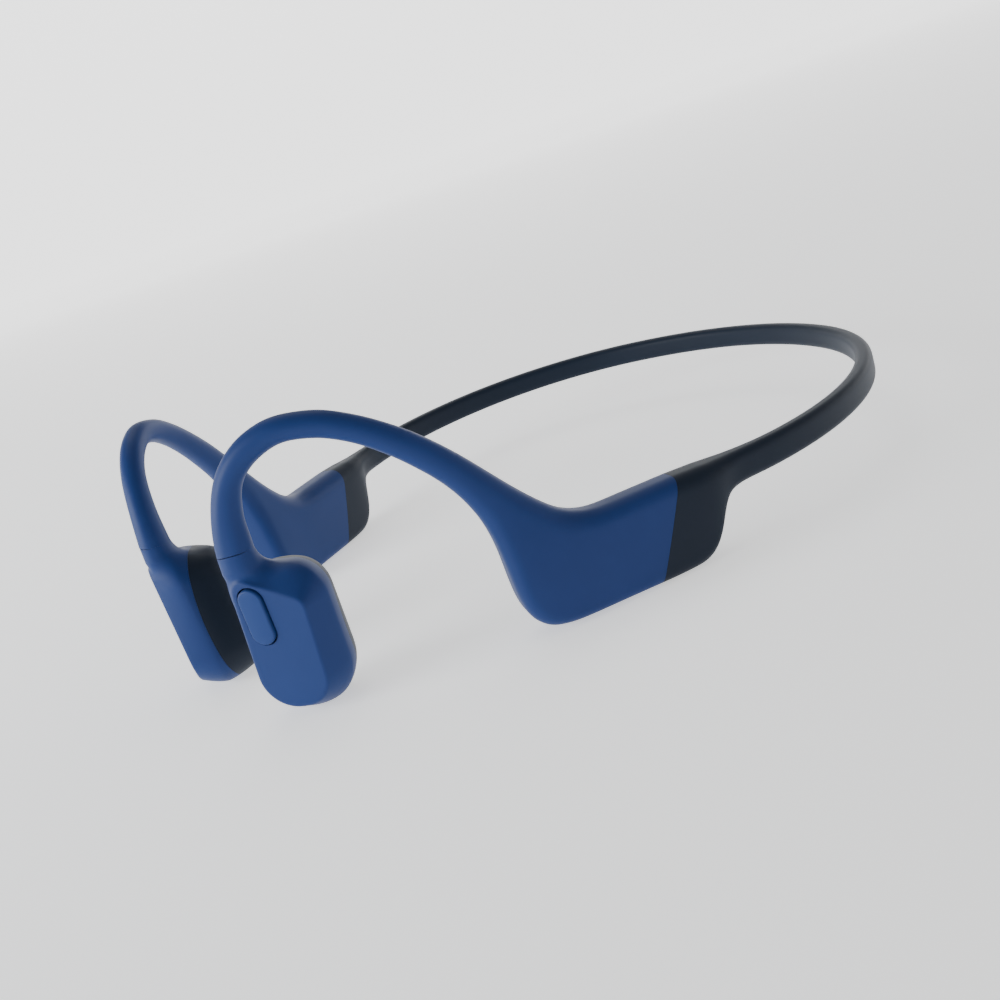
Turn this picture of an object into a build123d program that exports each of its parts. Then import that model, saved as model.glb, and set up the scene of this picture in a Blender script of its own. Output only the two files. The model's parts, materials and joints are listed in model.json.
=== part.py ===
"""Open-ear bone conduction headset: two ear hooks, two transducers and a sprung neckband.

The headset stands on a table as it is worn, with the ear hooks up.  X is across the head (+X is
the wearer's left), -Y is the wearer's face, +Z is up.  The origin is the centre of the footprint.
Lengths are millimetres and angles are degrees.
"""
from build123d import *
import os
from math import cos, pi, radians, sin

os.makedirs("parts", exist_ok=True)

# ---------------------------------------------------------------- driving dimensions
BACK_Y = 68.5            # middle of the neckband behind the head
BACK_RADIUS = 64.0       # flat arc behind the neck
BACK_SWEEP = 25.0        # half angle of that arc
SIDE_RADIUS = 49.5       # tighter arc round each side of the neck
MODULE_TURN = 22.0       # the module's heading, inward from straight ahead
MODULE_RUN = 30.0        # straight stretch through the module
FRONT_RADIUS = 98.0      # ear hook, bending inward over the ear
BAND_Z = 11.6            # the neckband lies level at this height
BAND_HEIGHT = 4.8
BAND_THICK = 3.1
BAND_CORNER = 1.3
CAP_TAIL = -6.0          # where each rear cap hands over to the neckband, along the arm
HINGE_GAP = 0.4          # saw cut in the stiff jacket where the spring band is pivoted
WIRE_RADIUS = 0.45       # titanium memory wire
CABLE_RADIUS = 0.5       # signal cable
BORE_CLEARANCE = 0.05
CORE_SPREAD = 1.05       # wire above and cable below the band's centre line
HOOK_SPREAD = 0.8        # wire outside and cable inside the hook's centre line
MODULE_HALF = 4.2        # half thickness of the module
SEAM_GAP = 0.05          # blue cover to dark rear cap
WALL = 1.3
CUT_LEAD = 1.0           # cuts start this far outside the surface they go through
DRIVER_ORIGIN = (11.9, -70.0, 10.8)   # front edge of the transducer's outer face
DRIVER_YAW = 62.0        # the outer face looks this far forward of sideways
DRIVER_TILT = 2.1        # and this far down
SHELL_DEPTH = 6.0        # blue outer shell
PAD_DEPTH = 6.0          # dark contact pad behind it
MOTOR_AT = (5.7, -0.6)   # centre of the vibration motor on the outer face
BUTTON_AT = (3.9, 6.85)  # multifunction button on the outer face
BUTTON_LENGTH = 9.2
BUTTON_WIDTH = 4.0
BUTTON_SLIT = 0.3
VOLUME_AT = {"volume_up": 31.2, "volume_down": 24.8}   # along the right arm
VOLUME_LENGTH = 5.2
VOLUME_WIDTH = 3.0
VOLUME_BOTTOM = 0.1      # height of the volume buttons' undersides
VOLUME_SLIT = 0.25

# Stations of the ear hook: upper edge (s, z), lower edge (s, z), half thickness.
# s runs along the arm from the rear cap forward, z is height.
HOOK_STATIONS = [
    ((80.0, 26.8), (74.4, 26.8), 2.38),
    ((79.3, 30.6), (74.2, 30.2), 2.14),
    ((77.6, 35.2), (73.2, 34.4), 1.98),
    ((74.6, 40.0), (71.5, 37.1), 1.93),
    ((69.8, 43.2), (68.6, 39.4), 1.92),
    ((64.7, 44.4), (64.6, 40.5), 1.94),
    ((59.3, 43.5), (60.5, 39.7), 2.00),
    ((53.8, 40.9), (56.0, 37.6), 2.05),
    ((48.6, 37.2), (51.3, 33.9), 2.15),
    ((43.8, 32.6), (47.3, 29.6), 2.25),
    ((39.0, 26.9), (43.9, 24.6), 2.55),
    ((35.5, 22.5), (41.6, 18.5), 3.05),
    ((31.8, 18.2), (40.8, 12.0), 3.70),
    ((29.0, 16.1), (40.4, 5.4), 4.05),
    ((26.6, 15.4), (38.0, 1.5), MODULE_HALF),
    ((23.5, 15.1), (32.5, 0.55), MODULE_HALF),
    ((18.0, 15.0), (26.0, 0.35), MODULE_HALF),
    ((12.0, 14.9), (19.3, 0.15), MODULE_HALF),
]
CAP_STATIONS = [
    ((12.0 - SEAM_GAP, 14.9), (19.3 - SEAM_GAP, 0.15), MODULE_HALF),
    ((8.6, 14.7), (12.6, 0.05), MODULE_HALF),
    ((6.6, 14.6), (8.9, 1.0), 4.00),
    ((5.0, 14.4), (6.9, 3.6), 3.60),
    ((3.3, 14.3), (5.2, 6.6), 3.00),
    ((1.0, 14.2), (2.4, 8.7), 2.20),
    ((-2.2, 14.0), (-1.8, 9.25), 1.60),
    ((CAP_TAIL, 13.9), (CAP_TAIL, 9.3), BAND_THICK / 2),
]

back_centre = (0.0, BACK_Y - BACK_RADIUS)
arc_step = BACK_RADIUS - SIDE_RADIUS
side_centre = (
    arc_step * sin(radians(BACK_SWEEP)),
    back_centre[1] + arc_step * cos(radians(BACK_SWEEP)),
)


# ---------------------------------------------------------------- places on the arm
def arm_frame(s):
    """Point (x, y) and heading of the left arm's centre line at length s."""
    turn = radians(MODULE_TURN)
    start_x = side_centre[0] + SIDE_RADIUS * cos(turn)
    start_y = side_centre[1] - SIDE_RADIUS * sin(turn)
    if s < 0:
        heading = turn + s / SIDE_RADIUS
        x = side_centre[0] + SIDE_RADIUS * cos(heading)
        y = side_centre[1] - SIDE_RADIUS * sin(heading)
        return x, y, heading
    run = min(s, MODULE_RUN)
    x = start_x - run * sin(turn)
    y = start_y - run * cos(turn)
    if s <= MODULE_RUN:
        return x, y, turn
    heading = turn + (s - MODULE_RUN) / FRONT_RADIUS
    x += FRONT_RADIUS * (cos(heading) - cos(turn))
    y -= FRONT_RADIUS * (sin(heading) - sin(turn))
    return x, y, heading


def arm_point(s, z, outward=0.0):
    x, y, heading = arm_frame(s)
    return Vector(x + outward * cos(heading), y - outward * sin(heading), z)


def station_plane(upper, lower):
    """Plane across the arm, its x along the section's height and y along its thickness."""
    top = arm_point(*upper)
    bottom = arm_point(*lower)
    heading = arm_frame((upper[0] + lower[0]) / 2)[2]
    outward = Vector(cos(heading), -sin(heading), 0)
    along = (top - bottom).normalized()
    return Plane(origin=(top + bottom) * 0.5, x_dir=along, z_dir=along.cross(outward))


def module_plane(s, z, outward=0.0):
    """Plane in the module: x forward along the arm, y outward, z up."""
    heading = arm_frame(s)[2]
    return Plane(
        origin=arm_point(s, z, outward),
        x_dir=(-sin(heading), -cos(heading), 0),
        z_dir=(0, 0, 1),
    )


def side_plane(outward=0.0):
    """Vertical plane through the module's straight run: x is s and y is height."""
    turn = radians(MODULE_TURN)
    return Plane(
        origin=arm_point(0, 0, outward),
        x_dir=(-sin(turn), -cos(turn), 0),
        z_dir=(-cos(turn), sin(turn), 0),
    )


def driver_plane(depth, at=(0.0, 0.0)):
    """Plane parallel to the transducer's outer face: x rearward, y up, z outward."""
    yaw = radians(DRIVER_YAW)
    tilt = radians(DRIVER_TILT)
    outward = Vector(cos(yaw) * cos(tilt), -sin(yaw) * cos(tilt), -sin(tilt))
    rearward = Vector(sin(yaw), cos(yaw), 0)
    upward = outward.cross(rearward)
    origin = Vector(*DRIVER_ORIGIN) - outward * depth + rearward * at[0] + upward * at[1]
    return Plane(origin=origin, x_dir=rearward, z_dir=outward)


def hook_centre(station, share):
    """Point in a hook station, share times the spread toward the upper edge."""
    upper, lower, _half = station
    plane = station_plane(upper, lower)
    return plane.origin + plane.x_dir * (HOOK_SPREAD * share)


# ---------------------------------------------------------------- output
def save(piece, name):
    piece.label = name
    export_step(piece, f"parts/{name}.step")


def save_mirrored(piece, name):
    with BuildPart() as opposite:
        mirror(piece, about=Plane.YZ)
    save(opposite.part, name)


def save_pair(piece, name):
    save(piece, f"left_{name}")
    save_mirrored(piece, f"right_{name}")


# ---------------------------------------------------------------- arm covers
CORNER_SHARE = 0.47      # corner radius as a share of a section's smaller side
CORNER_LIMIT = 2.6


def section_size(station, inset=0.0):
    """Height, thickness and corner radius of one section across the arm."""
    upper, lower, half = station
    height = (arm_point(*upper) - arm_point(*lower)).length - 2 * inset
    thickness = 2 * (half - inset)
    return height, thickness, min(CORNER_SHARE * min(height, thickness), CORNER_LIMIT)


BAY_OUTLINE = [(9.5, 13.4), (30.5, 13.4), (37.0, 8.0), (37.4, 4.4), (35.5, 1.9), (11.0, 1.9)]
BAY_HALF = MODULE_HALF - WALL

with BuildPart() as bay:
    with BuildSketch(side_plane(-BAY_HALF)):
        with BuildLine():
            Polyline(*BAY_OUTLINE, close=True)
        make_face()
    extrude(amount=-2 * BAY_HALF)


HOOK_CORE_END = 14       # stations the strands run through before the module bay
NECK_TAIL = 3.5          # strands run on this far into the transducer's neck


def hook_route(share):
    """Points of a strand inside the ear hook, from the transducer's neck to the module bay."""
    points = [hook_centre(station, share) for station in HOOK_STATIONS[:HOOK_CORE_END]]
    lead = points[0] - Vector(0, 0, NECK_TAIL)
    return [lead] + points


def hook_strand(share, radius):
    with BuildPart() as strand:
        with BuildLine() as route:
            Spline(*hook_route(share))
        with BuildSketch(Plane(origin=route.line @ 0, z_dir=route.line % 0)):
            Circle(radius)
        sweep()
    return strand.part


hook_wire = hook_strand(1, WIRE_RADIUS)
hook_cable = hook_strand(-1, CABLE_RADIUS)
hook_wire_bore = hook_strand(1, WIRE_RADIUS + BORE_CLEARANCE)
hook_cable_bore = hook_strand(-1, CABLE_RADIUS + BORE_CLEARANCE)

with BuildPart() as ear_hook:
    for station in HOOK_STATIONS:
        with BuildSketch(station_plane(station[0], station[1])):
            RectangleRounded(*section_size(station))
    loft(ruled=True)
    add(bay.part, mode=Mode.SUBTRACT)
    add(hook_wire_bore, mode=Mode.SUBTRACT)
    add(hook_cable_bore, mode=Mode.SUBTRACT)
save_pair(hook_wire, "hook_wire")
save_pair(hook_cable, "hook_cable")

# ---------------------------------------------------------------- neckband
CORE_END = 10.0          # the bores of the band's wire and cable end in the module bay
CORE_TAIL = 1.8          # wire and cable reach this far beyond their bores
middle_gap = HINGE_GAP / 2 / BACK_RADIUS * 180 / pi
side_gap = HINGE_GAP / 2 / SIDE_RADIUS * 180 / pi
side_start = 90 - BACK_SWEEP - side_gap
side_end = -MODULE_TURN
tail_end = -MODULE_TURN - CAP_TAIL / SIDE_RADIUS * 180 / pi


def band_middle(shape, lift):
    """Sweep a section along the middle arc of the neckband."""
    start = 90 - BACK_SWEEP + middle_gap
    with BuildPart() as middle:
        with BuildLine(Plane.XY.offset(BAND_Z + lift)) as route:
            CenterArc(back_centre, BACK_RADIUS, start, 2 * (90 - start))
        with BuildSketch(Plane(origin=route.line @ 0, z_dir=route.line % 0, x_dir=(0, 0, 1))):
            add(shape)
        sweep()
    return middle.part


def band_side(shape, lift, end_angle, straight):
    """Sweep a section round the side arc, and on along the module's straight run."""
    with BuildPart() as side:
        with BuildLine(Plane.XY.offset(BAND_Z + lift)) as route:
            CenterArc(side_centre, SIDE_RADIUS, side_start, end_angle - side_start)
            if straight:
                start_x, start_y, _heading = arm_frame(0)
                end_x, end_y, _heading = arm_frame(straight)
                Line((start_x, start_y), (end_x, end_y))
        with BuildSketch(Plane(origin=route.line @ 0, z_dir=route.line % 0, x_dir=(0, 0, 1))):
            add(shape)
        sweep()
    return side.part


with BuildSketch() as band_section:
    RectangleRounded(BAND_HEIGHT, BAND_THICK, BAND_CORNER)
with BuildSketch() as wire_section:
    Circle(WIRE_RADIUS)
with BuildSketch() as wire_bore_section:
    Circle(WIRE_RADIUS + BORE_CLEARANCE)
with BuildSketch() as cable_section:
    Circle(CABLE_RADIUS)
with BuildSketch() as cable_bore_section:
    Circle(CABLE_RADIUS + BORE_CLEARANCE)

with BuildPart() as neckband_jacket:
    add(band_middle(band_section.sketch, 0))
    add(band_middle(wire_bore_section.sketch, CORE_SPREAD), mode=Mode.SUBTRACT)
    add(band_middle(cable_bore_section.sketch, -CORE_SPREAD), mode=Mode.SUBTRACT)
save(neckband_jacket.part, "neckband_jacket")
save(band_middle(wire_section.sketch, CORE_SPREAD), "neckband_wire")
save(band_middle(cable_section.sketch, -CORE_SPREAD), "neckband_cable")

with BuildPart() as rear_cap:
    for station in CAP_STATIONS:
        with BuildSketch(station_plane(station[0], station[1])):
            RectangleRounded(*section_size(station))
    loft()

with BuildPart() as neckband_arm:
    add(band_side(band_section.sketch, 0, tail_end, 0))
    add(rear_cap.part)
    add(bay.part, mode=Mode.SUBTRACT)
    add(band_side(wire_bore_section.sketch, CORE_SPREAD, side_end, CORE_END), mode=Mode.SUBTRACT)
    add(band_side(cable_bore_section.sketch, -CORE_SPREAD, side_end, CORE_END), mode=Mode.SUBTRACT)
save_pair(neckband_arm.part, "neckband_arm")
save_pair(band_side(wire_section.sketch, CORE_SPREAD, side_end, CORE_END + CORE_TAIL), "band_wire")
save_pair(band_side(cable_section.sketch, -CORE_SPREAD, side_end, CORE_END + CORE_TAIL), "band_cable")

ANCHOR_LENGTH = 2.2
ANCHOR_RADIUS = 0.75
ANCHOR_PLAY = 0.02
anchor_start = arm_point(CORE_END - 0.2, BAND_Z + CORE_SPREAD)
module_heading = Vector(-sin(radians(MODULE_TURN)), -cos(radians(MODULE_TURN)), 0)
with BuildPart() as wire_anchor:
    with BuildSketch(Plane(origin=anchor_start, z_dir=module_heading)):
        Circle(ANCHOR_RADIUS)
        Circle(WIRE_RADIUS + ANCHOR_PLAY, mode=Mode.SUBTRACT)
    extrude(amount=ANCHOR_LENGTH)
save_pair(wire_anchor.part, "wire_anchor")

# ---------------------------------------------------------------- transducer housing
# Outlines parallel to the outer face: corners top front, top rear, bottom rear, bottom front.
FACE_OUTLINE = ([(2.1, 13.35), (12.35, 7.9), (10.6, -8.95), (-0.9, -8.95)], [2.0, 1.9, 5.2, 5.0])
RIM_OUTLINE = ([(-1.5, 12.6), (14.35, 12.3), (13.0, -11.0), (-2.2, -11.0)], [4.0, 5.6, 7.0, 6.5])
PAD_OUTLINE = ([(-0.6, 12.3), (12.8, 12.0), (11.9, -10.7), (-1.2, -10.7)], [4.0, 5.4, 6.0, 6.0])
CONTACT_OUTLINE = ([(1.2, 10.6), (10.5, 10.4), (10.4, -9.2), (0.6, -9.2)], [4.0, 4.5, 4.5, 4.5])
PAD_WALL = 1.0
CONTACT_INSET = 0.29
PAD_SHOULDER = 3.2       # depth of the pad's rounded shoulder behind the rim
PAD_SEAM = 0.05
NECK_BORE = 1.55
NECK_BORE_DEPTH = 7.0
NECK_STATIONS = [
    HOOK_STATIONS[0],
    ((80.4, 22.8), (73.8, 22.6), 2.6),
    ((79.9, 18.6), (72.2, 18.2), 2.3),
]

with BuildPart() as driver_cavity:
    for outline, depth in ((FACE_OUTLINE, WALL), (RIM_OUTLINE, SHELL_DEPTH + 1)):
        with BuildSketch(driver_plane(depth)):
            with BuildLine():
                FilletPolyline(*outline[0], radius=outline[1], close=True)
            make_face()
            offset(amount=-WALL, mode=Mode.REPLACE)
    loft()

with BuildPart() as driver_shell:
    for outline, depth in ((FACE_OUTLINE, 0), (RIM_OUTLINE, SHELL_DEPTH)):
        with BuildSketch(driver_plane(depth)):
            with BuildLine():
                FilletPolyline(*outline[0], radius=outline[1], close=True)
            make_face()
    loft()
with BuildPart() as neck:
    for station in NECK_STATIONS:
        with BuildSketch(station_plane(station[0], station[1])):
            RectangleRounded(*section_size(station))
    loft()

neck_top = station_plane(*HOOK_STATIONS[0][:2])
with BuildPart() as plain_shell:
    add(driver_shell.part)
    add(neck.part)
    add(driver_cavity.part, mode=Mode.SUBTRACT)
    with BuildSketch(neck_top):
        Circle(NECK_BORE)
    extrude(amount=-NECK_BORE_DEPTH, mode=Mode.SUBTRACT)

with BuildPart() as contact_pad:
    pad_layers = (
        (RIM_OUTLINE, SHELL_DEPTH + PAD_SEAM),
        (PAD_OUTLINE, SHELL_DEPTH + PAD_SHOULDER),
        (CONTACT_OUTLINE, SHELL_DEPTH + PAD_DEPTH),
    )
    for outline, depth in pad_layers:
        with BuildSketch(driver_plane(depth)):
            with BuildLine():
                FilletPolyline(*outline[0], radius=outline[1], close=True)
            make_face()
    loft(ruled=True)
    # stepped pocket: wide round the motor, narrow behind the contact face
    with BuildSketch(driver_plane(SHELL_DEPTH)):
        with BuildLine():
            FilletPolyline(*PAD_OUTLINE[0], radius=PAD_OUTLINE[1], close=True)
        make_face()
        offset(amount=-PAD_WALL, mode=Mode.REPLACE)
    extrude(amount=-PAD_SHOULDER, mode=Mode.SUBTRACT)
    with BuildSketch(driver_plane(SHELL_DEPTH)):
        with BuildLine():
            FilletPolyline(*CONTACT_OUTLINE[0], radius=CONTACT_OUTLINE[1], close=True)
        make_face()
        offset(amount=-CONTACT_INSET, mode=Mode.REPLACE)
    extrude(amount=-(PAD_DEPTH - WALL), mode=Mode.SUBTRACT)
save_pair(contact_pad.part, "contact_pad")

# ---------------------------------------------------------------- multifunction button
BUTTON_PROUD = 0.4
BUTTON_EDGE = 0.25       # rounding round the button's face
SHELL_CUT = CUT_LEAD + WALL + 1.0      # through the shell's outer wall
FLANGE_GAP = 0.35        # button flange behind the shell wall
FLANGE_THICK = 0.5
FLANGE_LENGTH = 6.8
FLANGE_WIDTH = 3.9
FLANGE_AT = (BUTTON_AT[0] + 1.1, BUTTON_AT[1] - 1.2)   # the lip catches the rear side only
STEM_RADIUS = 1.0
STEM_LENGTH = 0.5
SWITCH_GAP = 0.35        # free travel from the stem to the switch
SWITCH_SIZE = (3.4, 2.6, 0.8)
PLUNGER_RADIUS = 0.8
PLUNGER_HEIGHT = 0.3
SWITCH_CORNER = 0.3
BUTTON_LEAN = 4.0        # the button leans with the face's rear edge

with BuildPart() as left_driver_shell:
    add(plain_shell.part)
    with BuildSketch(driver_plane(-CUT_LEAD, BUTTON_AT)):
        SlotOverall(
            BUTTON_LENGTH + 2 * BUTTON_SLIT, BUTTON_WIDTH + 2 * BUTTON_SLIT,
            rotation=90 + BUTTON_LEAN,
        )
    extrude(amount=-SHELL_CUT, mode=Mode.SUBTRACT)
save(left_driver_shell.part, "left_driver_shell")

flange_depth = WALL + FLANGE_GAP
stem_depth = flange_depth + FLANGE_THICK
with BuildPart() as multifunction_button:
    with BuildSketch(driver_plane(-BUTTON_PROUD, BUTTON_AT)):
        SlotOverall(BUTTON_LENGTH, BUTTON_WIDTH, rotation=90 + BUTTON_LEAN)
    extrude(amount=-(flange_depth + BUTTON_PROUD))
    with BuildSketch(driver_plane(flange_depth, FLANGE_AT)):
        SlotOverall(FLANGE_LENGTH, FLANGE_WIDTH, rotation=90 + BUTTON_LEAN)
    extrude(amount=-FLANGE_THICK)
    with BuildSketch(driver_plane(stem_depth, BUTTON_AT)):
        Circle(STEM_RADIUS)
    extrude(amount=-STEM_LENGTH)
    outer_rim = multifunction_button.faces().filter_by(GeomType.PLANE).sort_by(
        lambda face: driver_plane(0).to_local_coords(face.center()).Z
    )[-1]
    fillet(outer_rim.edges(), BUTTON_EDGE)
save(multifunction_button.part, "multifunction_button")

switch_depth = stem_depth + STEM_LENGTH + SWITCH_GAP
with BuildPart() as button_switch:
    with BuildSketch(driver_plane(switch_depth, BUTTON_AT)):
        Circle(PLUNGER_RADIUS)
    extrude(amount=-PLUNGER_HEIGHT)
    with BuildSketch(driver_plane(switch_depth + PLUNGER_HEIGHT, BUTTON_AT)):
        RectangleRounded(SWITCH_SIZE[1], SWITCH_SIZE[0], SWITCH_CORNER)
    extrude(amount=-(SWITCH_SIZE[2] - PLUNGER_HEIGHT))
save(button_switch.part, "button_switch")

BOARD_THICK = 0.5
BUTTON_BOARD = (5.0, 3.6)
BUTTON_BOARD_AT = (4.7, 7.4)
BUTTON_BOARD_CORNER = 0.6
board_depth = switch_depth + SWITCH_SIZE[2]
with BuildPart() as button_board:
    with BuildSketch(driver_plane(board_depth, BUTTON_BOARD_AT)):
        RectangleRounded(*BUTTON_BOARD, BUTTON_BOARD_CORNER)
    extrude(amount=-BOARD_THICK)
save(button_board.part, "button_board")

# ---------------------------------------------------------------- right shell with its microphone
MIC_AT = (4.5, -5.8)
MIC_HOLE_RADIUS = 0.4
MIC_MESH_RADIUS = 0.9
MIC_SIZE = (2.8, 1.9, 1.0)
MIC_CORNER = 0.2
MIC_PLAY = 0.02
MESH_RECESS = 0.25
MESH_THICK = 0.14
MESH_SEAT = 0.4          # depth of the round step the mesh lies in
with BuildPart() as right_shell_blank:
    add(plain_shell.part)
    with BuildSketch(driver_plane(-CUT_LEAD, MIC_AT)):
        Circle(MIC_HOLE_RADIUS)
    extrude(amount=-SHELL_CUT, mode=Mode.SUBTRACT)
    with BuildSketch(driver_plane(-CUT_LEAD, MIC_AT)):
        Circle(MIC_MESH_RADIUS)
    extrude(amount=-(CUT_LEAD + MESH_SEAT), mode=Mode.SUBTRACT)
save_mirrored(right_shell_blank.part, "right_driver_shell")

with BuildPart() as voice_mic_mesh:
    with BuildSketch(driver_plane(MESH_RECESS, MIC_AT)):
        Circle(MIC_MESH_RADIUS - MIC_PLAY)
    extrude(amount=-MESH_THICK)
save_mirrored(voice_mic_mesh.part, "voice_microphone_mesh")
with BuildPart() as voice_microphone:
    with BuildSketch(driver_plane(WALL + MIC_PLAY, MIC_AT)):
        RectangleRounded(MIC_SIZE[0], MIC_SIZE[1], MIC_CORNER)
    extrude(amount=-MIC_SIZE[2])
save_mirrored(voice_microphone.part, "voice_microphone")

# ---------------------------------------------------------------- vibration motor
# Depths are from the outer face. Yoke, magnet and pole plate hang on the spring and move together.
YOKE_RADIUS = 4.75
YOKE_WALL = 0.5
YOKE_TOP = 4.6
YOKE_BASE = 0.7
YOKE_DEPTH = 3.4
MAGNET_RADIUS = 3.3
MAGNET_HEIGHT = 1.9
COIL_INNER = 3.65
COIL_OUTER = 4.05
COIL_TOP = 5.9
COIL_END = 8.6
SPRING_RADIUS = 5.35
SPRING_THICK = 0.2
FRAME_OUTER = 5.4
FRAME_INNER = 5.05
POST_RADIUS = 2.8        # post of the vibration plate, on the spring's middle
PLATE_RADIUS = 4.4
PLATE_THICK = 0.8

with BuildPart() as motor_yoke:
    with BuildSketch(driver_plane(YOKE_TOP, MOTOR_AT)):
        Circle(YOKE_RADIUS)
    extrude(amount=-YOKE_DEPTH)
    with BuildSketch(driver_plane(YOKE_TOP + YOKE_BASE, MOTOR_AT)):
        Circle(YOKE_RADIUS - YOKE_WALL)
    extrude(amount=-YOKE_DEPTH, mode=Mode.SUBTRACT)
save_pair(motor_yoke.part, "driver_yoke")

with BuildPart() as motor_magnet:
    with BuildSketch(driver_plane(YOKE_TOP + YOKE_BASE, MOTOR_AT)):
        Circle(MAGNET_RADIUS)
    extrude(amount=-MAGNET_HEIGHT)
save_pair(motor_magnet.part, "driver_magnet")

with BuildPart() as pole_plate:
    with BuildSketch(driver_plane(YOKE_TOP + YOKE_BASE + MAGNET_HEIGHT, MOTOR_AT)):
        Circle(MAGNET_RADIUS)
    extrude(amount=-(YOKE_DEPTH - YOKE_BASE - MAGNET_HEIGHT))
save_pair(pole_plate.part, "driver_pole_plate")

with BuildPart() as voice_coil:
    with BuildSketch(driver_plane(COIL_TOP, MOTOR_AT)):
        Circle(COIL_OUTER)
        Circle(COIL_INNER, mode=Mode.SUBTRACT)
    extrude(amount=-(COIL_END - COIL_TOP))
save_pair(voice_coil.part, "voice_coil")

SPRING_ARMS = 3
SPRING_HOLE = 2.2
ARM_RADII = (4.7, 3.1)   # centre lines of the outer and the inner row of slots
ARM_SWEEP = 95.0
ARM_STAGGER = 55.0
ARM_WIDTH = 0.3
with BuildPart() as suspension_spring:
    with BuildSketch(driver_plane(COIL_END, MOTOR_AT)):
        Circle(SPRING_RADIUS)
        Circle(SPRING_HOLE, mode=Mode.SUBTRACT)
        with PolarLocations(0, SPRING_ARMS):
            SlotArc(CenterArc((0, 0), ARM_RADII[0], 0, ARM_SWEEP), ARM_WIDTH, mode=Mode.SUBTRACT)
        with PolarLocations(0, SPRING_ARMS, start_angle=ARM_STAGGER):
            SlotArc(CenterArc((0, 0), ARM_RADII[1], 0, ARM_SWEEP), ARM_WIDTH, mode=Mode.SUBTRACT)
    extrude(amount=-SPRING_THICK)
save_pair(suspension_spring.part, "suspension_spring")

with BuildPart() as driver_frame:
    with BuildSketch(driver_plane(YOKE_TOP, MOTOR_AT)):
        Circle(FRAME_OUTER)
        Circle(FRAME_INNER, mode=Mode.SUBTRACT)
    extrude(amount=-(COIL_END - YOKE_TOP))
save_pair(driver_frame.part, "driver_frame")

PLATE_TOP = COIL_END + SPRING_THICK
plate_end = SHELL_DEPTH + PAD_DEPTH - WALL
with BuildPart() as vibration_plate:
    with BuildSketch(driver_plane(PLATE_TOP, MOTOR_AT)):
        Circle(POST_RADIUS)
    extrude(amount=-(plate_end - PLATE_TOP))
    with BuildSketch(driver_plane(plate_end - PLATE_THICK, MOTOR_AT)):
        Circle(PLATE_RADIUS)
    extrude(amount=-PLATE_THICK)
save_pair(vibration_plate.part, "vibration_plate")

# ---------------------------------------------------------------- left module: battery and charging port
PORT_AT = (34.2, 8.6)
PORT_LENGTH = 7.6
PORT_HEIGHT = 3.6
PORT_RECESS = 0.5
PORT_CUT = 3.1           # room for the port and the magnets behind it
PORT_PLAY = 0.06
PORT_THICK = 1.6
PIN_PITCH = 3.0
PIN_RADIUS = 0.58
PIN_BORE = 0.6
PIN_LENGTH = 1.9
MAGNET_PITCH = 5.8
PORT_MAGNET_RADIUS = 0.7
PORT_MAGNET_DEPTH = 1.65
PORT_MAGNET_THICK = 0.8

with BuildPart() as left_ear_hook:
    add(ear_hook.part)
    with BuildSketch(side_plane(-MODULE_HALF - CUT_LEAD)):
        with Locations(PORT_AT):
            SlotOverall(PORT_LENGTH, PORT_HEIGHT)
    extrude(amount=-(CUT_LEAD + PORT_CUT), mode=Mode.SUBTRACT)
save(left_ear_hook.part, "left_ear_hook")

port_plane_depth = MODULE_HALF - PORT_RECESS
with BuildPart() as charging_port:
    with BuildSketch(side_plane(-port_plane_depth)):
        with Locations(PORT_AT):
            SlotOverall(PORT_LENGTH - PORT_PLAY, PORT_HEIGHT - PORT_PLAY)
    extrude(amount=-PORT_THICK)
    with BuildSketch(side_plane(-port_plane_depth)):
        with Locations(PORT_AT):
            with GridLocations(PIN_PITCH, 1, 2, 1):
                Circle(PIN_BORE)
    extrude(amount=-PORT_THICK, mode=Mode.SUBTRACT)
save(charging_port.part, "charging_port")
with BuildPart() as charging_pins:
    with BuildSketch(side_plane(-port_plane_depth)):
        with Locations(PORT_AT):
            with GridLocations(PIN_PITCH, 1, 2, 1):
                Circle(PIN_RADIUS)
    extrude(amount=-PIN_LENGTH)
save(charging_pins.part, "charging_pins")
with BuildPart() as charging_magnets:
    with BuildSketch(side_plane(-port_plane_depth + PORT_MAGNET_DEPTH)):
        with Locations(PORT_AT):
            with GridLocations(MAGNET_PITCH, 1, 2, 1):
                Circle(PORT_MAGNET_RADIUS)
    extrude(amount=-PORT_MAGNET_THICK)
save(charging_magnets.part, "charging_magnets")

CELL_AT = (21.2, 7.6)
CELL_SIZE = (17.6, 4.6, 9.4)
CELL_CORNER = 1.0
CELL_EDGE = 0.4
CELL_BOARD_AT = (31.6, 5.0, 0.8)
CELL_BOARD = (0.8, 2.8, 4.5)
with BuildPart() as battery:
    with BuildSketch(module_plane(CELL_AT[0], CELL_AT[1] - CELL_SIZE[2] / 2)):
        RectangleRounded(CELL_SIZE[0], CELL_SIZE[1], CELL_CORNER)
    extrude(amount=CELL_SIZE[2])
    fillet(battery.faces().sort_by(Axis.Z)[-1].edges(), CELL_EDGE)
save(battery.part, "battery")
with BuildPart() as battery_board:
    with BuildSketch(module_plane(*CELL_BOARD_AT)):
        Rectangle(CELL_BOARD[0], CELL_BOARD[1])
    extrude(amount=CELL_BOARD[2])
save(battery_board.part, "battery_board")

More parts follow.
